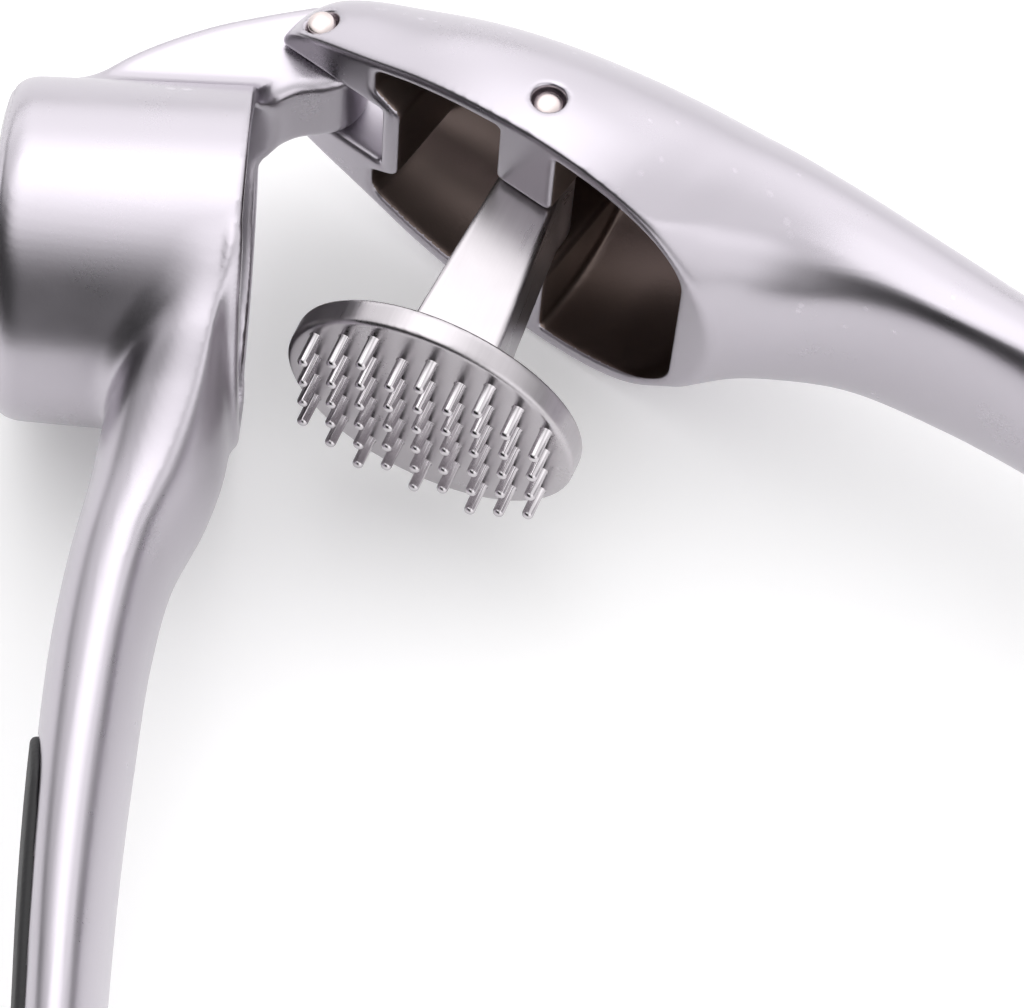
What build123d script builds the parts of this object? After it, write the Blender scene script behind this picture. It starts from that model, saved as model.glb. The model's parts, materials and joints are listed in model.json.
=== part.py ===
from build123d import *
import os
from math import cos, sin, pi

# Garlic press, lying on its side and half open. Millimetres.
# Origin: centre of the cup's flat base. +X: cup axis, out of the mouth.
# +Z: along both hinge pins, up. +Y: from the cup towards the main hinge.

# cup
CUP_DEPTH = 25.5
CUP_RIM_R = 18.5
CUP_BASE_R = 17.9
CUP_BORE_R = 16.5
CUP_EDGE_ROUND = 2.0

# strainer: a stepped plate whose flange sits on a ledge and whose face is flush with the base
LEDGE_DEPTH = 1.0
LEDGE_R = 15.45
STRAINER_THICK = 2.2
STRAINER_R = CUP_BORE_R - 0.02
STRAINER_FACE_R = LEDGE_R - 0.02
STRAINER_HOLE_R = 0.8

# hinge axes, as points in the XY plane
MAIN_PIN = (31.6, 23.7)
HANDLE_ANGLE = -33.0
PLUNGER_PIN_S = 27.0
PLUNGER_PIN_T = 2.4
PLUNGER_ANGLE = 249.6

# pins
PIN_R = 1.5
PIN_RUNNING_GAP = 0.05
RECESS_R = 1.95
MAIN_PIN_HALF = 10.2
PLUNGER_PIN_HALF = 18.9
RECESS_STEP = 0.7

# arm from the cup to the main hinge
ARM_HALF = 5.4
KNUCKLE_R = 5.2

# fork and cavity of the upper handle's hood
RIM_T = -2.7
SLOT_HALF = 5.7
SLOT_END = 9.8
CAVITY_START = 8.7
CAVITY_END = 47.8
CAVITY_END_HALF = 13.6
CAVITY_CORNER_R = 2.5
WALL = 2.0
ROOF = 2.4
SLOT_WALL_END = 12.0
SLOT_WALL_END_HALF = 6.4
SLOT_WALL_HALF = 8.4
RIB_START = 24.4
RIB_END = 31.4
RIB_INNER = 7.6

# plunger
PLUNGER_LENGTH = 28.7
DISC_R = 16.1
DISC_THICK = 3.0
STEM_HALF_Z = 7.2
EYE_R = 3.6
STEM_TOP_HALF = 3.1
STEM_FOOT_HALF = 5.0

# cleaning pins, staggered like the strainer's holes
COLUMN_COUNTS = [4, 5, 6, 5, 6, 5, 6, 5, 4]
COLUMN_PITCH = 3.2
ROW_PITCH = 4.6
CLEANING_PIN_R = 0.62
CLEANING_PIN_LENGTH = 3.6

# grip pads
PAD_RAISE = 0.7
PAD_DEPTH = 2.0
PAD_HALF_WIDTH = 7.4
PAD_LENGTH = 76.0
LOWER_PAD_MIDDLE = 93.0
LOWER_PAD_BACK = 15.4
UPPER_PAD_MIDDLE = 121.0
UPPER_PAD_BACK = 18.9


def grid_points():
    """Centres of the cleaning pins, (across, along Z), columns of 4 to 6."""
    points = []
    middle = (len(COLUMN_COUNTS) - 1) / 2
    for i, count in enumerate(COLUMN_COUNTS):
        for j in range(count):
            points.append(((i - middle) * COLUMN_PITCH, (j - (count - 1) / 2) * ROW_PITCH))
    return points


def power(value, exponent):
    return abs(value) ** exponent if value >= 0 else -(abs(value) ** exponent)


def section(place, half, ridge, back, front, square_back=2.6, square_front=2.1):
    """Closed smooth wire across a handle, widest at the ridge line.

    place turns (height, z) into a 3-D point; back and front are the
    heights of the crests above and below the ridge.
    """
    points = []
    count = 20
    for i in range(count):
        angle = 2 * pi * i / count
        is_back = sin(angle) >= 0
        n = square_back if is_back else square_front
        reach = (back - ridge) if is_back else (ridge - front)
        z = half * power(cos(angle), 2 / n)
        points.append(place(ridge + reach * power(sin(angle), 2 / n), z))
    return Wire([Edge.make_spline([Vector(*p) for p in points], periodic=True)])


def with_round_end(stations, tip_start, tip_end):
    """Adds a rounded end to a list of (position, half, ridge, back, front)."""
    half, ridge, back, front = stations[-1][1:]
    centre = (back + front) / 2
    rounded = list(stations)
    for part_way in (0.2, 0.4, 0.6, 0.8, 0.93):
        angle = part_way * pi / 2
        k = cos(angle)
        rounded.append((tip_start + (tip_end - tip_start) * sin(angle), half * k,
                        centre + (ridge - centre) * k, centre + (back - centre) * k,
                        centre + (front - centre) * k))
    return rounded


def handle_loft(stations, place_at):
    wires = [section(place_at(s[0]), *s[1:]) for s in stations]
    return Solid.make_loft(wires)


# (s along the handle, half width, ridge t, back crest t, front crest t)
HOOD = [
    (-3.4, 8.6, RIM_T, 4.6, -7.0),
    (0.5, 10.9, RIM_T, 7.4, -7.5),
    (7.5, 14.1, RIM_T, 10.2, -8.5),
    (14.5, 17.3, RIM_T, 12.5, -9.0),
    (22.0, 19.4, RIM_T, 14.5, -9.0),
    (31.0, 20.5, RIM_T, 16.4, -9.0),
    (38.0, 19.8, RIM_T, 17.9, -8.0),
]
GRIP = [
    (43.5, 18.2, -1.5, 19.0, -8.0),
    (48.5, 15.0, 4.3, 19.8, -6.5),
    (53.5, 13.4, 7.6, 20.3, -1.6),
    (58.0, 12.6, 9.4, 20.6, 1.6),
    (64.0, 12.1, 10.4, 20.7, 5.3),
    (72.0, 11.9, 11.4, 20.7, 7.6),
    (84.0, 11.8, 12.4, 20.4, 8.7),
    (105.0, 11.8, 12.4, 19.8, 8.9),
    (130.0, 11.6, 11.2, 18.2, 7.9),
    (150.0, 11.0, 9.7, 16.3, 6.6),
]
UPPER_TIP = (150.0, 163.0)

# (-y along the handle, half width, ridge x, back crest x, front crest x), x from the cup's rim
LOWER = [
    (9.0, 16.0, -1.6, -9.0, 0.0),
    (15.0, 15.2, -2.4, -11.6, 0.0),
    (21.0, 13.4, -3.6, -13.0, 0.0),
    (28.0, 11.8, -5.6, -13.9, -1.4),
    (36.0, 10.9, -7.2, -15.2, -4.4),
    (45.0, 10.5, -8.1, -16.1, -5.9),
    (57.0, 10.5, -8.6, -16.4, -6.6),
    (70.0, 10.6, -8.9, -16.2, -7.0),
    (86.0, 10.8, -8.8, -15.4, -6.9),
    (105.0, 11.0, -8.2, -14.3, -6.0),
    (124.0, 10.8, -7.0, -12.8, -4.6),
    (138.0, 10.2, -5.9, -11.4, -3.4),
]
LOWER_TIP = (138.0, 150.0)


def hood_place(s):
    return lambda height, z: (s, height, z)


def lower_place(y):
    """Heights grow away from the cup's mouth, so the back crest is the highest."""
    return lambda height, z: (CUP_DEPTH - height, -y, z)


def on_upper(part):
    """From the upper handle's own frame, at the main pin, to the press's frame."""
    return Pos(MAIN_PIN[0], MAIN_PIN[1], 0) * Rot(0, 0, HANDLE_ANGLE) * part


def on_plunger(part):
    """From the plunger's own frame, +X along its push, to the press's frame."""
    moved = Pos(PLUNGER_PIN_S, PLUNGER_PIN_T, 0) * Rot(0, 0, PLUNGER_ANGLE - HANDLE_ANGLE) * part
    return on_upper(moved)


def bar(x0, x1, y0, y1, z0, z1):
    centre = ((x0 + x1) / 2, (y0 + y1) / 2, (z0 + z1) / 2)
    return Pos(*centre) * Box(x1 - x0, y1 - y0, z1 - z0)


def upright_cylinder(x, y, radius, z0, z1):
    return Pos(x, y, (z0 + z1) / 2) * Cylinder(radius, z1 - z0)


def along_x(radius, x0, x1, tip_radius=None):
    """Round bar or cone on the X axis."""
    if tip_radius is None:
        body = Cylinder(radius, x1 - x0)
    else:
        body = Cone(radius, tip_radius, x1 - x0)
    return Pos((x0 + x1) / 2, 0, 0) * Rot(0, 90, 0) * body


# ---------------------------------------------------------------- lower handle

def lower_blank():
    flipped = [(p, h, -r, -b, -f) for p, h, r, b, f in LOWER]
    return handle_loft(with_round_end(flipped, *LOWER_TIP), lower_place)


def cup_body():
    body = along_x(CUP_BASE_R, 0, CUP_DEPTH, CUP_RIM_R)
    base_edge = body.edges().sort_by(Axis.X)[0]
    return fillet(base_edge, CUP_EDGE_ROUND)


def arm():
    """Flat arch from the cup's side up to the knuckle on the main pin."""
    x, y = MAIN_PIN
    outline = Wire([
        Edge.make_line((5.0, 12.0), (5.0, 15.8)),
        Edge.make_spline([Vector(5.0, 15.8), Vector(11.6, 21.3), Vector(19.0, 25.2),
                          Vector(25.5, 27.4), Vector(x - 0.6, y + KNUCKLE_R - 0.03)],
                         tangents=[Vector(0.6, 0.8), Vector(1, 0.12)]),
        Edge.make_line((x - 0.6, y + KNUCKLE_R - 0.03), (x, y)),
        Edge.make_line((x, y), (x + 0.9, y - KNUCKLE_R + 0.08)),
        Edge.make_spline([Vector(x + 0.9, y - KNUCKLE_R + 0.08), Vector(CUP_DEPTH + 3.9, 17.8),
                          Vector(CUP_DEPTH + 1.5, 16.0), Vector(CUP_DEPTH, 13.2)]),
        Edge.make_line((CUP_DEPTH, 13.2), (CUP_DEPTH, 12.0)),
        Edge.make_line((CUP_DEPTH, 12.0), (5.0, 12.0)),
    ])
    plate = Pos(0, 0, -ARM_HALF) * extrude(Face(outline), ARM_HALF * 2, dir=(0, 0, 1))
    return plate + upright_cylinder(x, y, KNUCKLE_R, -ARM_HALF, ARM_HALF)


def lower_handle():
    body = cup_body() + lower_blank() + arm()
    body -= along_x(CUP_BORE_R, LEDGE_DEPTH, CUP_DEPTH + 12)
    body -= along_x(LEDGE_R, -1, LEDGE_DEPTH + 1)
    body -= upright_cylinder(*MAIN_PIN, PIN_R + PIN_RUNNING_GAP, -20, 20)
    return body - lower_pad_cutter()


def lower_pad_cutter():
    """Long rounded slot in the back of the lower handle, open to -X."""
    turned = Plane(origin=(CUP_DEPTH - LOWER_PAD_BACK + PAD_DEPTH, -LOWER_PAD_MIDDLE, 0),
                   x_dir=(0.062, -1, 0), z_dir=(-1, -0.062, 0))
    return turned * extrude(SlotOverall(PAD_LENGTH, 2 * PAD_HALF_WIDTH), 20)


def lower_grip_pad():
    raised = Pos(-PAD_RAISE, 0, 0) * lower_blank()
    return lower_pad_cutter() & raised


def strainer():
    plate = along_x(STRAINER_R, LEDGE_DEPTH, STRAINER_THICK) + along_x(STRAINER_FACE_R, 0, LEDGE_DEPTH)
    hole = along_x(STRAINER_HOLE_R, -1, STRAINER_THICK + 1)
    holes = [Pos(0, across, along) * hole for across, along in grid_points()]
    return plate - holes


# ---------------------------------------------------------------- upper handle

def upper_blank():
    return handle_loft(with_round_end(HOOD + GRIP, *UPPER_TIP), hood_place)


def cavity():
    """Hollow of the hood, a wall thickness inside its outer shape."""
    inner = [(s, half - WALL, ridge, back - ROOF, front) for s, half, ridge, back, front in HOOD + GRIP[:3]]
    inside = handle_loft(inner, hood_place)
    plan = Polygon((CAVITY_START, -26), (38.5, -26), (CAVITY_END, -CAVITY_END_HALF),
                   (CAVITY_END, CAVITY_END_HALF), (38.5, 26), (CAVITY_START, 26), align=None)
    plan = fillet(plan.vertices().sort_by(Axis.X)[-2:], CAVITY_CORNER_R)
    block = Plane(origin=(0, -9, 0), x_dir=(1, 0, 0), z_dir=(0, 1, 0)) * extrude(plan, 40)
    return inside & block


def ribs():
    """Two full-height ribs inside the hood that carry the plunger's pin."""
    near = bar(RIB_START, RIB_END, RIM_T, 20, RIB_INNER, 24)
    return [near, mirror(near, about=Plane.XY)]


def slot_wall():
    """Wall that closes the fork's slot off from the cavity, tapered into it."""
    plan = Polygon((0, -SLOT_WALL_HALF), (CAVITY_START, -SLOT_WALL_HALF), (SLOT_WALL_END, -SLOT_WALL_END_HALF),
                   (SLOT_WALL_END, SLOT_WALL_END_HALF), (CAVITY_START, SLOT_WALL_HALF), (0, SLOT_WALL_HALF),
                   align=None)
    return Plane(origin=(0, -9, 0), x_dir=(1, 0, 0), z_dir=(0, 1, 0)) * extrude(plan, 40)


def upper_handle():
    blank = upper_blank()
    body = blank - (cavity() - ribs() - slot_wall())
    body -= bar(-20, 60, -30, RIM_T, -30, 30)
    body -= bar(-20, SLOT_END, -30, 30, -SLOT_HALF, SLOT_HALF)
    for s, t, half in ((0, 0, MAIN_PIN_HALF), (PLUNGER_PIN_S, PLUNGER_PIN_T, PLUNGER_PIN_HALF)):
        recess = upright_cylinder(s, t, RECESS_R, half - RECESS_STEP, 30)
        body -= [upright_cylinder(s, t, PIN_R, -30, 30), recess, mirror(recess, about=Plane.XY)]
    return on_upper(body - upper_pad_cutter())


def upper_pad_cutter():
    """Long rounded slot in the back of the upper handle, open upwards."""
    turned = Plane(origin=(UPPER_PAD_MIDDLE, UPPER_PAD_BACK - PAD_DEPTH, 0),
                   x_dir=(1, -0.058, 0), z_dir=(0.058, 1, 0))
    return turned * extrude(SlotOverall(PAD_LENGTH, 2 * PAD_HALF_WIDTH), 20)


def upper_grip_pad():
    raised = Pos(0, PAD_RAISE, 0) * upper_blank()
    return on_upper(upper_pad_cutter() & raised)


def rivet(half):
    pin = Cylinder(PIN_R, 2 * half)
    return fillet(pin.edges().filter_by(GeomType.CIRCLE), PIN_R * 0.45)


def main_rivet():
    return on_upper(rivet(MAIN_PIN_HALF))


def plunger_rivet():
    return on_upper(Pos(PLUNGER_PIN_S, PLUNGER_PIN_T, 0) * rivet(PLUNGER_PIN_HALF))


# --------------------------------------------------------------------- plunger

def plunger():
    foot = PLUNGER_LENGTH - DISC_THICK
    stem_side = Polygon((0, -STEM_TOP_HALF), (foot, -STEM_FOOT_HALF), (foot, STEM_FOOT_HALF),
                        (0, STEM_TOP_HALF), align=None)
    stem = Pos(0, 0, -STEM_HALF_Z) * extrude(stem_side, 2 * STEM_HALF_Z)
    disc = along_x(DISC_R, foot, PLUNGER_LENGTH)
    body = stem + upright_cylinder(0, 0, EYE_R, -STEM_HALF_Z, STEM_HALF_Z) + disc
    return on_plunger(body - upright_cylinder(0, 0, PIN_R + PIN_RUNNING_GAP, -20, 20))


def cleaning_pins():
    pin = along_x(CLEANING_PIN_R, PLUNGER_LENGTH, PLUNGER_LENGTH + CLEANING_PIN_LENGTH)
    pin = fillet(pin.edges().filter_by(GeomType.CIRCLE).sort_by(Axis.X)[-1], CLEANING_PIN_R * 0.8)
    return Compound([on_plunger(Pos(0, across, along) * pin).solid() for across, along in grid_points()])


PARTS = {
    "lower_handle": lower_handle,
    "strainer": strainer,
    "lower_grip_pad": lower_grip_pad,
    "upper_handle": upper_handle,
    "upper_grip_pad": upper_grip_pad,
    "main_rivet": main_rivet,
    "plunger": plunger,
    "plunger_rivet": plunger_rivet,
    "cleaning_pins": cleaning_pins,
}

os.makedirs("parts", exist_ok=True)
for name, make in PARTS.items():
    shape = make()
    if isinstance(shape, ShapeList):
        shape = Compound(list(shape))
    export_step(shape, f"parts/{name}.step")
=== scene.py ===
import bpy
import json
import numpy as np
from math import cos, pi, radians, sin
from mathutils import Matrix, Vector


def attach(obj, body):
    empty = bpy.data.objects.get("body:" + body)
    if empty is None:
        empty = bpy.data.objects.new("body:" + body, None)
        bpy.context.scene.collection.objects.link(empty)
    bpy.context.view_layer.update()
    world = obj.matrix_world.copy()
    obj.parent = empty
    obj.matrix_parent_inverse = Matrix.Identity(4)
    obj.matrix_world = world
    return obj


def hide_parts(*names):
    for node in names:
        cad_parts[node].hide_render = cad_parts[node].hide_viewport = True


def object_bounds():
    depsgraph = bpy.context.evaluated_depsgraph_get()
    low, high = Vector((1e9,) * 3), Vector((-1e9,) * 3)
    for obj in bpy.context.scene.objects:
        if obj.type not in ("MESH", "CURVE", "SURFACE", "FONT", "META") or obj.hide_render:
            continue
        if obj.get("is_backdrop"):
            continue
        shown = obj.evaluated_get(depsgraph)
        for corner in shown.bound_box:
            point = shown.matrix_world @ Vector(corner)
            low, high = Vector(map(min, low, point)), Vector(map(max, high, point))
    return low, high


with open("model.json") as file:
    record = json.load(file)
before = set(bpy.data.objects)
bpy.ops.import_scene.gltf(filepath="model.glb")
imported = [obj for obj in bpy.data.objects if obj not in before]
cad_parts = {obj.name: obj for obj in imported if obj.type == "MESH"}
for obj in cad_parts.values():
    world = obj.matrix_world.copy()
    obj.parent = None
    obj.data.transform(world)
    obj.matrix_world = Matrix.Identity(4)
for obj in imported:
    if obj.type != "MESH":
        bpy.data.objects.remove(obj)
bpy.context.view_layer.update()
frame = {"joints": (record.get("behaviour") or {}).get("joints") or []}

# ------------------------------------------------------------------ view and light
# The press lies on its side on a pale tabletop, lit by large soft lamps behind and above it.
# A long lens looks down on it from the front.

camera = bpy.data.objects.new("camera", bpy.data.cameras.new("camera"))
camera.data.lens = 175.8
camera.data.sensor_width = 36.0
camera.location = (0.0473, -0.2425, 0.4620)
camera.rotation_mode = "ZYX"
camera.rotation_euler = (radians(25.163), radians(-0.827), radians(3.950))
camera.data.clip_end = 50.0
bpy.context.scene.collection.objects.link(camera)
bpy.context.scene.camera = camera
bpy.context.scene.view_settings.view_transform = "Standard"


def node(tree, kind, inputs=None, **settings):
    """Adds a shader node, sets its options, and fills or links its inputs."""
    made = tree.nodes.new(kind)
    for name, value in settings.items():
        setattr(made, name, value)
    for name, value in (inputs or {}).items():
        if isinstance(value, bpy.types.NodeSocket):
            tree.links.new(value, made.inputs[name])
        else:
            made.inputs[name].default_value = value
    return made


def new_material(name):
    """A material that uses nodes, with its tree and its shader."""
    material = bpy.data.materials.new(name)
    material.use_nodes = True
    return material, material.node_tree, material.node_tree.nodes["Principled BSDF"]


# how far round from the front each lamp hangs and how far up, then the angle from its middle
# that is fully bright and the one where it ends, all in degrees, and its brightness
SOFT_LAMPS = [
    (-160, -10, 8, 45, 0.66),
    (80, -10, 30, 90, 0.34),
    (160, 0, 8, 45, 0.80),
    (40, 20, 8, 45, 1.16),
    (-140, 30, 8, 45, 1.22),
    (160, 30, 8, 45, 0.68),
    (-105, 70, 5, 34, 0.80),
    (180, 64, 5, 28, 0.75),
    (120, 70, 20, 65, 1.06),
]
ROOM_LIGHT = 0.03


def studio_sky():
    """Dim room lit by the soft lamps, mostly behind and above, darkest in front on the left."""
    world = bpy.data.worlds.new("studio")
    bpy.context.scene.world = world
    world.use_nodes = True
    tree = world.node_tree
    tree.nodes.clear()
    looked_at = node(tree, "ShaderNodeTexCoord").outputs["Generated"]
    total = ROOM_LIGHT
    for turn, rise, full, faint, brightness in SOFT_LAMPS:
        turn, rise = radians(turn), radians(rise)
        axis = (sin(turn) * cos(rise), -cos(turn) * cos(rise), sin(rise))
        dot = node(tree, "ShaderNodeVectorMath", {0: looked_at, 1: axis}, operation="DOT_PRODUCT")
        patch = node(tree, "ShaderNodeMapRange",
                     {"Value": dot.outputs["Value"], "From Min": cos(radians(faint)),
                      "From Max": cos(radians(full)), "To Min": 0.0, "To Max": brightness},
                     interpolation_type="SMOOTHSTEP")
        total = node(tree, "ShaderNodeMath", {0: patch.outputs["Result"], 1: total},
                     operation="ADD").outputs[0]
    sky = node(tree, "ShaderNodeBackground", {"Color": (1.0, 0.995, 1.0, 1), "Strength": total})
    node(tree, "ShaderNodeOutputWorld", {"Surface": sky.outputs[0]})


# Painted light: the table glows round the press, and both its colour and its glow fade far from it.
FLOOR_HALF, FLOOR_GAP = 6.0, 0.0005
FLOOR_WHITE, FLOOR_PAINTED_GLOW = 0.95, 0.16
LIGHT_POOL_MIDDLE, LIGHT_POOL_FULL, LIGHT_POOL_END, LIGHT_POOL_DIM = (0.35, 0.25, 0.0), 0.49, 0.95, 0.16


def tabletop():
    """A white table with a painted pool of light: it glows a little near the press, and its colour is
    painted darker far from it.
    """
    mesh = bpy.data.meshes.new("tabletop")
    corners = [(x * FLOOR_HALF, y * FLOOR_HALF, 0) for x, y in ((-1, -1), (1, -1), (1, 1), (-1, 1))]
    mesh.from_pydata(corners, [], [(0, 1, 2, 3)])
    floor = bpy.data.objects.new("tabletop", mesh)
    floor.location = (0, 0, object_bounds()[0].z - FLOOR_GAP)
    bpy.context.scene.collection.objects.link(floor)
    paint, tree, shader = new_material("tabletop")
    shader.inputs["Roughness"].default_value = 0.9
    spot = node(tree, "ShaderNodeTexCoord").outputs["Object"]
    away = node(tree, "ShaderNodeVectorMath", {0: spot, 1: LIGHT_POOL_MIDDLE}, operation="DISTANCE")
    painted_light_pool = node(tree, "ShaderNodeMapRange",
                {"Value": away.outputs["Value"], "From Min": LIGHT_POOL_FULL, "From Max": LIGHT_POOL_END,
                 "To Min": 1.0, "To Max": LIGHT_POOL_DIM}, interpolation_type="SMOOTHSTEP").outputs[0]
    shade = node(tree, "ShaderNodeMath", {0: painted_light_pool, 1: FLOOR_WHITE}, operation="MULTIPLY")
    tree.links.new(shade.outputs[0], shader.inputs["Base Color"])
    painted_glow = node(tree, "ShaderNodeMath", {0: painted_light_pool, 1: FLOOR_PAINTED_GLOW}, operation="MULTIPLY")
    shader.inputs["Emission Color"].default_value = (1, 1, 1, 1)
    tree.links.new(painted_glow.outputs[0], shader.inputs["Emission Strength"])
    mesh.materials.append(paint)
    floor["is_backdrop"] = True


studio_sky()
tabletop()

# --------------------------------------------------------------------- lower handle
# One die casting in zinc: the cup, the arch up to the hinge, and the handle. It is
# bead-blasted and plated to a pearly satin, so every edge is softly rounded.

MM = 0.001
CUP_DEPTH, CUP_RIM_R, CUP_BASE_R, CUP_BORE_R = 25.5, 18.5, 17.9, 16.5
LEDGE_DEPTH, LEDGE_R = 1.0, 15.45
ARM_HALF, KNUCKLE_R = 5.4, 5.2
PIN_HOLE_R = 1.55
LOWER_END, LOWER_TIP = 138.0, 150.0
PAD_LENGTH, PAD_HALF, PAD_DEPTH = 76.0, 7.4, 2.0
LOWER_PAD_MIDDLE, LOWER_PAD_BACK, LOWER_PAD_TILT = 93.0, 15.4, 0.062

pin_centres = {joint["name"]: Vector(joint["pos_m"]) / MM for joint in frame["joints"]}
main_pin = pin_centres["handle_hinge"]

# y down the handle, half width, then the heights over the mouth of the ridge line, back and front
LOWER_SHAPE = [
    (9.0, 16.0, 1.6, 9.0, 0.0),
    (15.0, 15.2, 2.4, 11.6, 0.0),
    (21.0, 13.4, 3.6, 13.0, 0.0),
    (28.0, 11.8, 5.6, 13.9, 1.4),
    (36.0, 10.9, 8.4, 15.2, 4.4),
    (45.0, 10.5, 9.9, 16.1, 5.9),
    (57.0, 10.5, 10.9, 16.4, 6.6),
    (70.0, 10.6, 11.3, 16.2, 7.0),
    (86.0, 10.8, 11.1, 15.4, 6.9),
    (105.0, 11.0, 10.3, 14.3, 6.0),
    (124.0, 10.8, 8.8, 12.8, 4.6),
    (138.0, 10.2, 7.5, 11.4, 3.4),
]
# how square the sections are behind and in front of the ridge line; 2 is round
LOWER_POWERS = (2.4, 1.9)


def flowing(stations, positions):
    """Smooth curves through the columns of a station list, flat beyond its ends."""
    table = np.array(stations, float)
    x, y = table[:, 0], table[:, 1:]
    chord = np.diff(y, axis=0) / np.diff(x)[:, None]
    slope = np.vstack([chord[:1], (chord[1:] + chord[:-1]) / 2, chord[-1:]])
    p = np.clip(positions, x[0], x[-1])
    i = np.clip(np.searchsorted(x, p) - 1, 0, len(x) - 2)
    w = (x[i + 1] - x[i])[:, None]
    u = (p - x[i])[:, None] / w
    curve = (y[i] * (1 + 2 * u) * (1 - u) ** 2 + slope[i] * w * u * (1 - u) ** 2
             + y[i + 1] * u * u * (3 - 2 * u) + slope[i + 1] * w * u * u * (u - 1))
    return curve.T.astype(np.float32)


def lattice(low, high, step):
    """Evenly spaced sample positions along X, Y and Z as broadcasting arrays."""
    axes = [np.arange(a, b + step, step, dtype=np.float32) for a, b in zip(low, high)]
    return axes[0][:, None, None], axes[1][None, :, None], axes[2][None, None, :]


def evened(field, step):
    """Rescales a field so that near its zero it is a distance in millimetres."""
    gx, gy, gz = np.gradient(field, step)
    return field / np.maximum(np.sqrt(gx * gx + gy * gy + gz * gz), 1e-3)


def joined(a, b, radius):
    """Union of two shapes with a fillet between them."""
    h = np.clip(0.5 + 0.5 * (b - a) / radius, 0, 1)
    return b + (a - b) * h - radius * h * (1 - h)


def trimmed(a, b, radius):
    """What two shapes share, with a rounded edge where they meet."""
    return -joined(-a, -b, radius)


def cut(a, tool, radius):
    return trimmed(a, -tool, radius)


def handle_field(positions, height, across, stations, tip_start, tip_end, back_power, front_power):
    """Below 0 inside a handle whose sections follow the stations and end in a rounded tip."""
    half, ridge, back, front = flowing(stations, positions.ravel())
    half, ridge, back, front = (v.reshape(positions.shape) for v in (half, ridge, back, front))
    lift = height - ridge
    behind = lift >= 0
    reach = np.where(behind, back - ridge, ridge - front)
    power = np.where(behind, np.float32(back_power), np.float32(front_power))
    ring = ((np.abs(across) / half) ** power + (np.abs(lift) / reach) ** power) ** (1 / power)
    tip = np.maximum(positions - tip_start, 0) / (tip_end - tip_start)
    return np.sqrt(ring * ring + tip * tip) - 1


def slot_field(along, across, length, half):
    """Distance to a straight slot with round ends, seen in plan."""
    return np.hypot(np.maximum(np.abs(along) - (length / 2 - half), 0), across) - half


def outline_distance(points, x, y):
    """Signed distance in a plane to a closed outline, below 0 inside."""
    best = np.full(np.broadcast(x, y).shape, 1e6, np.float32)
    inside = np.zeros(best.shape, bool)
    for (ax, ay), (bx, by) in zip(points, np.roll(points, -1, axis=0)):
        ex, ey = bx - ax, by - ay
        t = np.clip(((x - ax) * ex + (y - ay) * ey) / (ex * ex + ey * ey), 0, 1)
        best = np.minimum(best, np.hypot(x - ax - t * ex, y - ay - t * ey))
        if by != ay:
            inside ^= ((ay > y) != (by > y)) & (x < ex * (y - ay) / ey + ax)
    return np.where(inside, -best, best)


def curve_through(points, per_span):
    """Points along a smooth curve that passes through the given ones."""
    p = np.array([points[0]] + list(points) + [points[-1]], float)
    out = []
    for i in range(1, len(p) - 2):
        for u in np.linspace(0, 1, per_span, endpoint=False):
            a, b, c, d = p[i - 1:i + 3]
            out.append(b + 0.5 * u * (c - a + u * (2 * a - 5 * b + 4 * c - d + u * (3 * (b - c) + d - a))))
    return out + [p[-2]]


def skin(field, low, step):
    """Quad mesh over the field's zero surface, its points settled onto it; arrays of mm."""
    low = np.array(low, float)
    inside = field < 0
    shape = np.array(field.shape) - 1
    corner = [(i, j, k) for i in (0, 1) for j in (0, 1) for k in (0, 1)]
    count = sum(inside[i:i + shape[0], j:j + shape[1], k:k + shape[2]].astype(np.int8)
                for i, j, k in corner)
    cells = np.argwhere((count > 0) & (count < 8))
    values = np.stack([field[tuple((cells + c).T)] for c in corner], axis=1)
    total = np.zeros((len(cells), 3))
    hits = np.zeros(len(cells))
    for a in range(8):
        for b in range(a + 1, 8):
            pa, pb = np.array(corner[a]), np.array(corner[b])
            if np.abs(pa - pb).sum() == 1:
                va, vb = values[:, a], values[:, b]
                crossing = (va < 0) != (vb < 0)
                t = np.where(crossing, va / np.where(crossing, va - vb, 1), 0)
                total += np.where(crossing[:, None], pa + t[:, None] * (pb - pa), 0)
                hits += crossing
    points = cells + total / hits[:, None]
    number = np.full(shape, -1, np.int32)
    number[tuple(cells.T)] = np.arange(len(cells))
    faces = []
    for axis in range(3):
        u, v = (axis + 1) % 3, (axis + 2) % 3
        step_on = [slice(None)] * 3
        step_back = [slice(None)] * 3
        step_on[axis], step_back[axis] = slice(1, None), slice(0, -1)
        changed = inside[tuple(step_on)] != inside[tuple(step_back)]
        where = np.argwhere(changed)
        where = where[(where[:, u] > 0) & (where[:, v] > 0)]
        du, dv = np.eye(3, dtype=int)[u], np.eye(3, dtype=int)[v]
        ring = [number[tuple((where - a * du - b * dv).T)] for a, b in ((0, 0), (1, 0), (1, 1), (0, 1))]
        quad = np.stack(ring, axis=1)
        outward = inside[tuple(where.T)]
        quad[~outward] = quad[~outward][:, ::-1]
        faces.append(quad)
    gradient = np.gradient(field)
    for _ in range(2):
        points = points - settled_step(field, gradient, points)
    return low + points * step, np.vstack(faces)


def settled_step(field, gradient, points):
    """How far each point has to move along the slope to reach the zero surface."""
    limit = np.array(field.shape) - 2
    base = np.clip(np.floor(points).astype(int), 0, limit)
    part = points - base
    value = np.zeros(len(points))
    slope = np.zeros((len(points), 3))
    for i in (0, 1):
        for j in (0, 1):
            for k in (0, 1):
                w = (np.abs(1 - i - part[:, 0]) * np.abs(1 - j - part[:, 1]) * np.abs(1 - k - part[:, 2]))
                at = tuple((base + (i, j, k)).T)
                value += w * field[at]
                for a in range(3):
                    slope[:, a] += w * gradient[a][at]
    move = slope * (value / np.maximum((slope ** 2).sum(1), 1e-6))[:, None]
    return np.clip(move, -0.5, 0.5)


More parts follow.
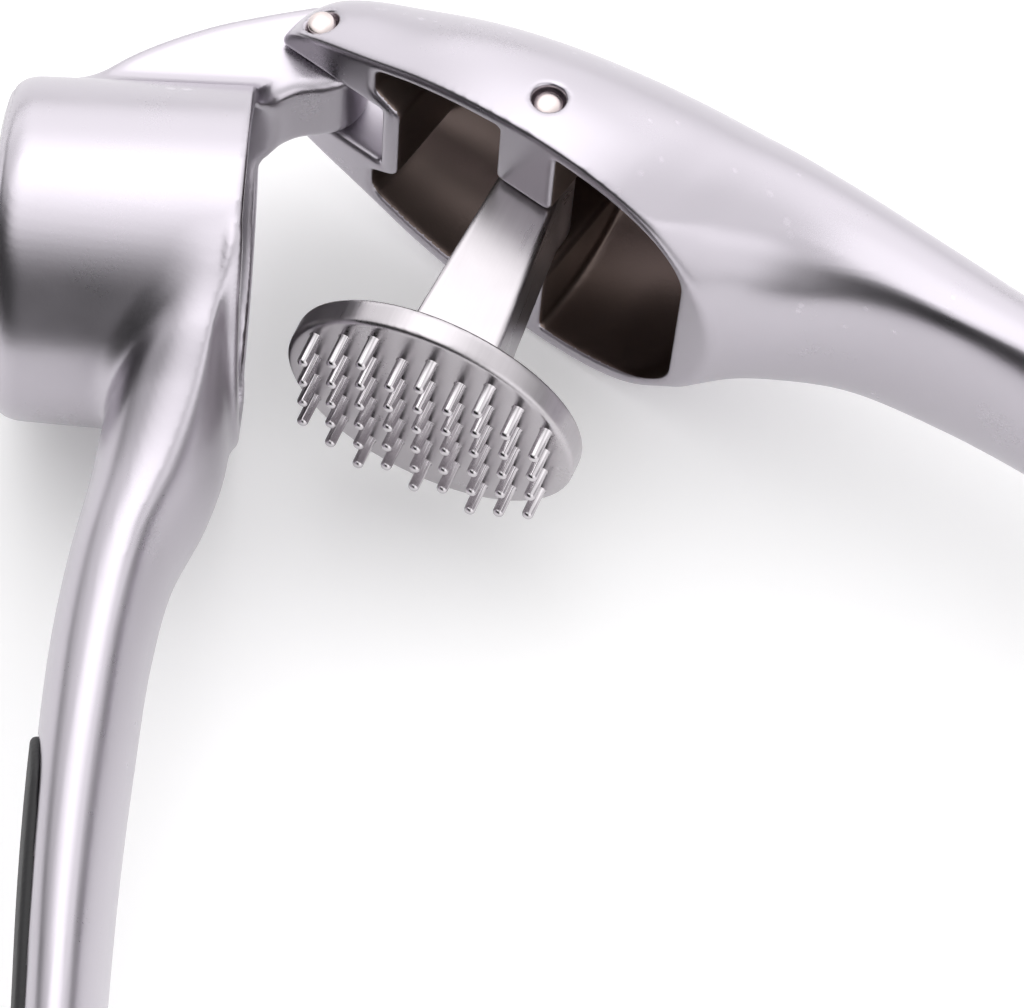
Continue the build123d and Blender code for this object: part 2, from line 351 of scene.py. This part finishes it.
def solid_piece(name, points, faces, materials, slots=None, place=None):
    """Smooth-shaded object from millimetre points in the frame place; slots picks each face's material."""
    points = points * MM
    if place is not None:
        points = points @ np.array(place.to_3x3()).T + np.array(place.translation)
    mesh = bpy.data.meshes.new(name)
    mesh.vertices.add(len(points))
    mesh.vertices.foreach_set("co", points.astype(np.float32).ravel())
    mesh.loops.add(faces.size)
    mesh.loops.foreach_set("vertex_index", faces.astype(np.int32).ravel())
    mesh.polygons.add(len(faces))
    mesh.polygons.foreach_set("loop_start", np.arange(len(faces), dtype=np.int32) * faces.shape[1])
    for material in materials:
        mesh.materials.append(material)
    if slots is not None:
        mesh.polygons.foreach_set("material_index", slots.astype(np.int32))
    mesh.polygons.foreach_set("use_smooth", np.ones(len(faces), bool))
    mesh.update(calc_edges=True)
    mesh.validate()
    piece = bpy.data.objects.new(name, mesh)
    bpy.context.scene.collection.objects.link(piece)
    return piece


def noise(tree, place, scale, detail):
    """Soft irregular pattern between 0 and 1."""
    made = node(tree, "ShaderNodeTexNoise", {"Vector": place, "Scale": scale, "Detail": detail})
    return made.outputs["Fac"]


def spread(tree, value, low, high, start=0.0, end=1.0):
    """Takes a value that runs from start to end to one that runs from low to high."""
    return node(tree, "ShaderNodeMapRange", {"Value": value, "From Min": start, "From Max": end,
                                             "To Min": low, "To Max": high}).outputs[0]


def mixed(tree, share, first, second):
    """Colour that turns from the first to the second as the share grows from 0 to 1."""
    mix = node(tree, "ShaderNodeMix", {"Factor": share, "A": first, "B": second}, data_type="RGBA")
    return mix.outputs["Result"]


def shaded(colour, amount):
    """A darker or lighter tone of a colour, opaque."""
    return tuple(min(part * amount, 1) for part in colour) + (1,)


def satin_metal(name, colour, rough, grain, blotch):
    """Bead-blasted, plated casting: fine even grain, faint cloudiness and brighter rubbed edges."""
    material, tree, shader = new_material(name)
    shader.inputs["Metallic"].default_value = 1.0
    place = node(tree, "ShaderNodeTexCoord").outputs["Object"]
    cloud = noise(tree, place, 90.0, 4.0)
    speck = noise(tree, place, 3200.0, 2.0)
    rubbed = node(tree, "ShaderNodeNewGeometry").outputs["Pointiness"]
    edge = spread(tree, rubbed, 0.0, 1.0, 0.57, 0.70)
    tint = mixed(tree, cloud, shaded(colour, 1 - blotch), shaded(colour, 1 + blotch))
    tree.links.new(mixed(tree, edge, tint, shaded(colour, 1.12)), shader.inputs["Base Color"])
    base = spread(tree, cloud, rough - 0.03, rough + 0.03, 0.3, 0.7)
    fine = node(tree, "ShaderNodeMath", {0: speck, 1: 0.06, 2: base}, operation="MULTIPLY_ADD").outputs[0]
    smooth = node(tree, "ShaderNodeMath", {0: edge, 1: -0.08, 2: fine}, operation="MULTIPLY_ADD").outputs[0]
    tree.links.new(smooth, shader.inputs["Roughness"])
    relief = node(tree, "ShaderNodeBump", {"Height": speck, "Strength": grain, "Distance": 0.00002})
    tree.links.new(relief.outputs["Normal"], shader.inputs["Normal"])
    return material


satin = satin_metal("cast_satin", (0.485, 0.458, 0.50), 0.27, 0.2, 0.03)


def arm_outline():
    """The arch from the cup up to the hinge, seen from the side."""
    x, y = main_pin.x, main_pin.y
    top = curve_through([(5.0, 15.8), (11.6, 21.3), (19.0, 25.2), (25.5, 27.4), (x - 0.6, y + KNUCKLE_R)], 8)
    under = curve_through([(x + 0.9, y - KNUCKLE_R), (CUP_DEPTH + 3.9, 17.8), (CUP_DEPTH + 1.5, 16.0),
                           (CUP_DEPTH, 13.2)], 8)
    return np.array(top + [(x, y)] + under + [(CUP_DEPTH, 12.0), (5.0, 12.0)])


def lower_casting():
    step = 0.4
    low, high = (-2.0, -152.0, -20.5), (39.0, 31.0, 20.5)
    x, y, z = lattice(low, high, step)
    round_about_x = np.hypot(y, z)
    wall = round_about_x - (CUP_BASE_R + (CUP_RIM_R - CUP_BASE_R) * x / CUP_DEPTH)
    cup = trimmed(trimmed(wall, -x, 3.4), x - CUP_DEPTH, 0.5)
    handle = handle_field(-y, CUP_DEPTH - x, z, LOWER_SHAPE, LOWER_END, LOWER_TIP, *LOWER_POWERS)
    handle = trimmed(evened(handle + 0 * x, step), y + 6.0, 3.0)
    handle = trimmed(handle, x - CUP_DEPTH, 0.8)
    flat = outline_distance(arm_outline(), x[:, :, 0], y[:, :, 0])
    flat = np.minimum(flat, np.hypot(x[:, :, 0] - main_pin.x, y[:, :, 0] - main_pin.y) - KNUCKLE_R)
    arm = trimmed(flat[:, :, None], np.abs(z) - ARM_HALF, 1.6)
    body = joined(joined(cup, handle, 2.6), arm, 2.2)
    body = cut(body, trimmed(round_about_x - CUP_BORE_R, LEDGE_DEPTH - x, 0.1), 0.5)
    body = cut(body, round_about_x - LEDGE_R + 0 * x, 0.2)
    body = cut(body, np.hypot(x - main_pin.x, y - main_pin.y) - PIN_HOLE_R + 0 * z, 0.2)
    body = cut(body, lower_pad_slot(x, y, z), 0.3)
    return skin(body, low, step)


def lower_pad_slot(x, y, z, gap=0.0):
    """The shallow slot in the handle's back that the pad sits in."""
    along = -y - LOWER_PAD_MIDDLE
    plan = slot_field(along, z, PAD_LENGTH - 2 * gap, PAD_HALF - gap)
    floor = x - (CUP_DEPTH - LOWER_PAD_BACK + PAD_DEPTH) - LOWER_PAD_TILT * along
    return trimmed(plan + 0 * x, floor, 0.3)


points, faces = lower_casting()
lower_cast = solid_piece("lower_casting", points, faces, [satin])
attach(lower_cast, "cup_side")
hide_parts("lower_handle")

# ------------------------------------------------------------------------ strainer
# A stamped stainless plate with 46 round holes. Its flange sits on a small ledge
# inside the cup's base and its face lies flush with the base.

STRAINER_THICK, STRAINER_R, STRAINER_FACE_R, STRAINER_HOLE_R = 2.2, 16.48, 15.43, 0.8
COLUMN_COUNTS = [4, 5, 6, 5, 6, 5, 6, 5, 4]
COLUMN_PITCH, ROW_PITCH = 3.2, 4.6


def hole_places():
    """Centres of the strainer's holes and of the cleaning pins that clear them."""
    places = []
    middle = (len(COLUMN_COUNTS) - 1) / 2
    for i, count in enumerate(COLUMN_COUNTS):
        for j in range(count):
            places.append(((i - middle) * COLUMN_PITCH, (j - (count - 1) / 2) * ROW_PITCH))
    return places


def brushed_metal(name, colour, rough, stretch, depth, turn=0.0):
    """Metal with fine lines brushed along one axis of the piece, which is turned about Z."""
    material, tree, shader = new_material(name)
    shader.inputs["Metallic"].default_value = 1.0
    place = node(tree, "ShaderNodeTexCoord").outputs["Object"]
    own = node(tree, "ShaderNodeVectorRotate", {"Vector": place, "Angle": -turn}, rotation_type="Z_AXIS")
    along = node(tree, "ShaderNodeMapping", {"Vector": own.outputs[0], "Scale": stretch}).outputs["Vector"]
    lines = noise(tree, along, 1.0, 3.0)
    cloud = noise(tree, place, 140.0, 3.0)
    tint = mixed(tree, lines, shaded(colour, 0.92), shaded(colour, 1.06))
    tree.links.new(tint, shader.inputs["Base Color"])
    base = spread(tree, cloud, rough - 0.04, rough + 0.04, 0.3, 0.7)
    uneven = node(tree, "ShaderNodeMath", {0: lines, 1: 0.12, 2: base}, operation="MULTIPLY_ADD").outputs[0]
    tree.links.new(uneven, shader.inputs["Roughness"])
    relief = node(tree, "ShaderNodeBump", {"Height": lines, "Strength": depth, "Distance": 0.00003})
    tree.links.new(relief.outputs["Normal"], shader.inputs["Normal"])
    return material


def strainer_plate():
    step = 0.2
    low, high = (-0.6, -17.2, -17.2), (2.8, 17.2, 17.2)
    x, y, z = lattice(low, high, step)
    round_about_x = np.hypot(y, z)
    flange = trimmed(round_about_x - STRAINER_R, np.maximum(LEDGE_DEPTH - x, x - STRAINER_THICK), 0.25)
    face = trimmed(round_about_x - STRAINER_FACE_R, np.maximum(-x, x - STRAINER_THICK), 0.25)
    holes = np.full(round_about_x.shape, 1e3, np.float32)
    for across, along in hole_places():
        holes = np.minimum(holes, np.hypot(y - across, z - along) - STRAINER_HOLE_R)
    return skin(cut(np.minimum(flange, face), holes, 0.2), low, step)


points, faces = strainer_plate()
stainless = brushed_metal("stainless", (0.55, 0.545, 0.54), 0.24, (40.0, 3000.0, 60.0), 0.15)
plate = solid_piece("strainer_plate", points, faces, [stainless])
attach(plate, "cup_side")
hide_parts("strainer")

# ------------------------------------------------------------------ lower grip pad
# A moulded black rubber pad pressed into the slot in the back of the lower handle.
# It stands a little proud of the metal and follows its curve.

PAD_RAISE, PAD_GAP = 0.7, 0.12


def soft_rubber(name):
    """Matte black rubber with a fine moulded texture and slightly dusty highs."""
    material, tree, shader = new_material(name)
    place = node(tree, "ShaderNodeTexCoord").outputs["Object"]
    cloud = noise(tree, place, 120.0, 5.0)
    pores = node(tree, "ShaderNodeTexVoronoi", {"Vector": place, "Scale": 1900.0}).outputs["Distance"]
    tint = mixed(tree, cloud, (0.007, 0.007, 0.008, 1), (0.02, 0.019, 0.021, 1))
    tree.links.new(tint, shader.inputs["Base Color"])
    tree.links.new(spread(tree, cloud, 0.48, 0.68), shader.inputs["Roughness"])
    relief = node(tree, "ShaderNodeBump", {"Height": pores, "Strength": 0.35, "Distance": 0.00006})
    tree.links.new(relief.outputs["Normal"], shader.inputs["Normal"])
    return material


rubber = soft_rubber("grip_rubber")


def lower_pad():
    step = 0.3
    low, high = (5.5, -132.5, -8.4), (15.0, -53.5, 8.4)
    x, y, z = lattice(low, high, step)
    lifted = handle_field(-y, CUP_DEPTH - x - PAD_RAISE, z, LOWER_SHAPE, LOWER_END, LOWER_TIP, *LOWER_POWERS)
    return skin(trimmed(evened(lifted, step), lower_pad_slot(x, y, z, PAD_GAP), 0.7), low, step)


points, faces = lower_pad()
pad = solid_piece("lower_pad", points, faces, [rubber])
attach(pad, "cup_side")
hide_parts("lower_grip_pad")

# --------------------------------------------------------------------- upper handle
# The second die casting: a thin-walled hood, open underneath, that grows into a
# solid handle. The outside is plated satin; the hollow gets a darker brown metal that is painted shade.

HANDLE_ANGLE = radians(-33.0)
RIM_T, WALL, ROOF = -2.7, 2.0, 2.4
SLOT_HALF, SLOT_END = 5.7, 9.8
CAVITY_START, CAVITY_END, CAVITY_END_HALF = 8.7, 47.8, 13.6
TAPER_START, TAPER_START_HALF = 38.5, 26.0
SLOT_WALL_END, SLOT_WALL_HALF, SLOT_WALL_END_HALF = 12.0, 8.4, 6.4
RIB_START, RIB_END, RIB_INNER = 24.4, 31.4, 7.6
PAINTED_SHADE_REACH = 0.45
PIN_R, RECESS_R, RECESS_STEP = 1.5, 1.8, 0.7
MAIN_PIN_HALF, PLUNGER_PIN_HALF = 10.2, 18.9
UPPER_START, UPPER_END, UPPER_TIP = -3.4, 150.0, 163.0
UPPER_PAD_MIDDLE, UPPER_PAD_BACK, UPPER_PAD_TILT = 121.0, 18.9, 0.058
PLUNGER_PIN = (27.0, 2.4)

# along the handle, half width, then the heights of the ridge line, back and front
UPPER_SHAPE = [
    (UPPER_START, 8.6, RIM_T, 4.6, -7.0),
    (0.5, 10.9, -2.7, 7.4, -7.5),
    (7.5, 14.1, -2.7, 10.2, -8.5),
    (14.5, 17.3, -2.7, 12.5, -9.0),
    (22.0, 19.4, -2.7, 14.5, -9.0),
    (31.0, 20.5, -2.7, 16.4, -9.0),
    (38.0, 19.8, -2.7, 17.9, -8.0),
    (43.5, 17.9, -0.9, 19.0, -8.0),
    (48.5, 15.6, 4.0, 19.8, -6.5),
    (53.5, 13.8, 7.5, 20.3, -1.6),
    (58.0, 12.8, 9.2, 20.6, 1.6),
    (64.0, 12.2, 10.4, 20.7, 5.3),
    (72.0, 11.9, 11.4, 20.7, 7.6),
    (84.0, 11.8, 13.2, 20.4, 8.7),
    (105.0, 11.8, 13.9, 19.8, 8.9),
    (130.0, 11.6, 12.6, 18.2, 7.9),
    (150.0, 11.0, 11.0, 16.3, 6.6),
]
UPPER_POWERS = (2.6, 2.0)
HOOD_END = 55.0
# a tip so far away that it rounds nothing
NO_TIP = (900.0, 999.0)
upper_frame = Matrix.Translation(main_pin * MM) @ Matrix.Rotation(HANDLE_ANGLE, 4, "Z")


def upper_blank(s, t, z, step):
    """The casting before it is hollowed; s runs along the handle from its pin and t across, to its back."""
    shape = handle_field(s + 0 * t, t + 0 * s, z, UPPER_SHAPE, UPPER_END, UPPER_TIP, *UPPER_POWERS)
    return evened(shape, step)


def hood_hollow(s, t, z, step):
    """The space inside the hood, less the two ribs that carry the plunger's pin."""
    hood = [row for row in UPPER_SHAPE if row[0] < HOOD_END]
    inner = [(along, half - WALL, ridge, back - ROOF, front) for along, half, ridge, back, front in hood]
    space = evened(handle_field(s + 0 * t, t + 0 * s, z, inner, *NO_TIP, *UPPER_POWERS), step)
    slope = (TAPER_START_HALF - CAVITY_END_HALF) / (CAVITY_END - TAPER_START)
    taper = ((s - TAPER_START) * slope + np.abs(z) - TAPER_START_HALF) / np.hypot(slope, 1.0)
    plan = trimmed(trimmed(s - CAVITY_END, taper, 3.0), CAVITY_START - s, 1.0)
    space = trimmed(space, plan + 0 * t, 1.6)
    lean = (SLOT_WALL_HALF - SLOT_WALL_END_HALF) / (SLOT_WALL_END - CAVITY_START)
    side = (np.abs(z) - SLOT_WALL_HALF + (s - CAVITY_START) * lean) / np.hypot(lean, 1.0)
    space = cut(space, trimmed(side, s - SLOT_WALL_END, 0.9) + 0 * t, 0.8)
    rib = trimmed(np.abs(s - (RIB_START + RIB_END) / 2) - (RIB_END - RIB_START) / 2,
                  RIB_INNER - np.abs(z), 0.9)
    return cut(space, rib + 0 * t, 0.8)


def upper_pad_slot(s, t, z, gap=0.0):
    """The shallow slot in the handle's back that the pad sits in."""
    along = s - UPPER_PAD_MIDDLE
    plan = slot_field(along, z, PAD_LENGTH - 2 * gap, PAD_HALF - gap)
    floor = (UPPER_PAD_BACK - PAD_DEPTH) - UPPER_PAD_TILT * along - t
    return trimmed(plan + 0 * t, floor + 0 * z, 0.3)


def upper_casting():
    step = 0.35
    low, high = (-5.0, -4.2, -21.7), (164.5, 22.0, 21.7)
    s, t, z = lattice(low, high, step)
    body = trimmed(upper_blank(s, t, z, step), UPPER_START - s, 3.0)
    hollow = hood_hollow(s, t, z, step)
    body = cut(body, hollow, 0.5)
    body = trimmed(body, RIM_T - t + 0 * s, 0.7)
    slot = trimmed(np.abs(z) - SLOT_HALF, s - SLOT_END, 0.6)
    body = cut(body, slot + 0 * t, 0.7)
    for pin_s, pin_t, half in ((0.0, 0.0, MAIN_PIN_HALF), (*PLUNGER_PIN, PLUNGER_PIN_HALF)):
        about = np.hypot(s - pin_s, t - pin_t)
        body = cut(body, about - PIN_R + 0 * z, 0.1)
        body = cut(body, np.maximum(about - RECESS_R, half - RECESS_STEP - np.abs(z)), 0.35)
    body = cut(body, upper_pad_slot(s, t, z), 0.3)
    points, faces = skin(body, low, step)
    middle = points[faces].mean(axis=1)
    at = tuple(np.round((middle - low) / step).astype(int).T)
    # faces inside the hollow, which get the darker brown metal as painted shade
    painted_shade_faces = (hollow[at] < PAINTED_SHADE_REACH) & (middle[:, 1] > RIM_T + PAINTED_SHADE_REACH)
    return points, faces, painted_shade_faces


# Painted shade: a dark brown metal stands in for the shade and dark reflections inside the hood.
painted_shade_metal = satin_metal("painted_shade_metal", (0.25, 0.195, 0.175), 0.36, 0.5, 0.12)
points, faces, painted_shade_faces = upper_casting()
upper_cast = solid_piece("upper_casting", points, faces, [satin, painted_shade_metal], painted_shade_faces, upper_frame)
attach(upper_cast, "hood_side")
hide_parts("upper_handle")

# ------------------------------------------------------------------ upper grip pad
# The matching rubber pad in the back of the upper handle, under the palm.
# It is moulded from the same black rubber and stands equally proud.


def upper_pad():
    step = 0.3
    low, high = (81.5, 13.5, -8.4), (160.5, 22.5, 8.4)
    s, t, z = lattice(low, high, step)
    lifted = upper_blank(s, t - PAD_RAISE, z, step)
    return skin(trimmed(lifted, upper_pad_slot(s, t, z, PAD_GAP), 0.7), low, step)


points, faces = upper_pad()
pad = solid_piece("upper_pad", points, faces, [rubber], None, upper_frame)
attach(pad, "hood_side")
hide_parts("upper_grip_pad")

# -------------------------------------------------------------------------- rivets
# Two plain steel rivets with lightly domed, polished ends. The short one is the
# main hinge and the long one carries the plunger; both are fixed in the upper handle.


def turned_bar(profile, sides):
    """Points and faces of a closed bar turned about its own Z axis."""
    ring = np.linspace(0, 2 * pi, sides, endpoint=False)
    profile = np.array(profile)
    rings = [np.stack([radius * np.cos(ring), radius * np.sin(ring), np.full(sides, height)], axis=1)
             for height, radius in profile]
    points = np.vstack(rings)
    i = np.arange(sides)
    j = (i + 1) % sides
    faces = [np.stack([k * sides + i, k * sides + j, (k + 1) * sides + j, (k + 1) * sides + i], axis=1)
             for k in range(len(profile) - 1)]
    return points, np.vstack(faces)


def domed_profile(half, radius, dome):
    """Heights and radii from the lower dome's tip to the upper dome's tip."""
    curve = [(half - dome + dome * sin(a), radius * cos(a)) for a in np.linspace(0, pi / 2 - 0.01, 12)]
    return [(-h, r) for h, r in reversed(curve)] + curve


PIN_DOME = 0.45
rivet_steel = satin_metal("rivet_steel", (0.60, 0.53, 0.52), 0.24, 0.1, 0.06)
for name, replaced, spot, half in (("main_rivet_pin", "main_rivet", (0.0, 0.0), MAIN_PIN_HALF),
                                   ("plunger_rivet_pin", "plunger_rivet", PLUNGER_PIN, PLUNGER_PIN_HALF)):
    points, faces = turned_bar(domed_profile(half, PIN_R, PIN_DOME), 48)
    points = points + (*spot, 0)
    rivet = solid_piece(name, points, faces, [rivet_steel], None, upper_frame)
    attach(rivet, "hood_side")
    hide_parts(replaced)

# ------------------------------------------------------------------------- plunger
# One casting: an eye on the long rivet, a flat tapering stem, and a round disc that
# fits the cup. The stem and the disc's rim are machined and brushed.

PLUNGER_ANGLE = radians(249.6)
PLUNGER_LENGTH, DISC_R, DISC_THICK = 28.7, 16.1, 3.0
STEM_HALF_Z, EYE_R, STEM_TOP_HALF, STEM_FOOT_HALF = 7.2, 3.6, 3.1, 5.0
swing_pin = pin_centres["plunger_swing"]
plunger_frame = Matrix.Translation(swing_pin * MM) @ Matrix.Rotation(PLUNGER_ANGLE, 4, "Z")


def plunger_casting():
    step = 0.25
    low, high = (-4.6, -17.0, -17.0), (29.7, 17.0, 17.0)
    u, v, z = lattice(low, high, step)
    foot = PLUNGER_LENGTH - DISC_THICK
    taper = STEM_TOP_HALF + (STEM_FOOT_HALF - STEM_TOP_HALF) * u / foot
    side = np.maximum(np.maximum(np.abs(v) - taper, -u), u - foot - 1.0)
    side = joined(side, np.hypot(u, v) - EYE_R, 0.8)
    stem = trimmed(side + 0 * z, np.abs(z) - STEM_HALF_Z, 0.5)
    about_u = np.hypot(v, z)
    disc = trimmed(about_u - DISC_R, np.maximum(foot - u, u - PLUNGER_LENGTH), 0.6)
    body = joined(stem, disc, 0.9)
    return skin(cut(body, np.hypot(u, v) - PIN_HOLE_R + 0 * z, 0.2), low, step)


points, faces = plunger_casting()
plunger_metal = brushed_metal("plunger_metal", (0.50, 0.475, 0.495), 0.25,
                              (50.0, 2600.0, 2600.0), 0.12, PLUNGER_ANGLE)
plunger = solid_piece("plunger_casting", points, faces, [plunger_metal], None, plunger_frame)
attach(plunger, "plunger_side")
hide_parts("plunger")

# ------------------------------------------------------------------- cleaning pins
# 46 short round pins with rounded ends stand on the disc and push the pulp out of
# the strainer's holes. They are bright nickel, much shinier than the casting.

CLEANING_PIN_R, CLEANING_PIN_LENGTH, CLEANING_PIN_TIP = 0.62, 3.6, 0.5
FLARE, FLARE_HEIGHT, PIN_ROOT = 0.12, 0.14, 0.1


def pin_forest():
    """Points and faces of all the pins, each with a small flare where it leaves the disc."""
    shank = CLEANING_PIN_LENGTH - CLEANING_PIN_TIP
    tip = [(shank + CLEANING_PIN_TIP * sin(a), CLEANING_PIN_R * cos(a) ** 0.8)
           for a in np.linspace(0, pi / 2 - 0.02, 7)]
    foot = [(-PIN_ROOT, CLEANING_PIN_R + FLARE), (0.0, CLEANING_PIN_R + FLARE),
            (FLARE_HEIGHT, CLEANING_PIN_R)]
    one, sides = turned_bar(foot + tip, 24)
    one = one[:, [2, 0, 1]]
    places = [np.array((PLUNGER_LENGTH, across, along)) for across, along in hole_places()]
    points = np.vstack([one + place for place in places])
    faces = np.vstack([sides + k * len(one) for k in range(len(places))])
    return points, faces


points, faces = pin_forest()
bright_nickel = satin_metal("bright_nickel", (0.56, 0.535, 0.555), 0.14, 0.05, 0.05)
pins = solid_piece("cleaning_pin_set", points, faces, [bright_nickel], None, plunger_frame)
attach(pins, "plunger_side")
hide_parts("cleaning_pins")
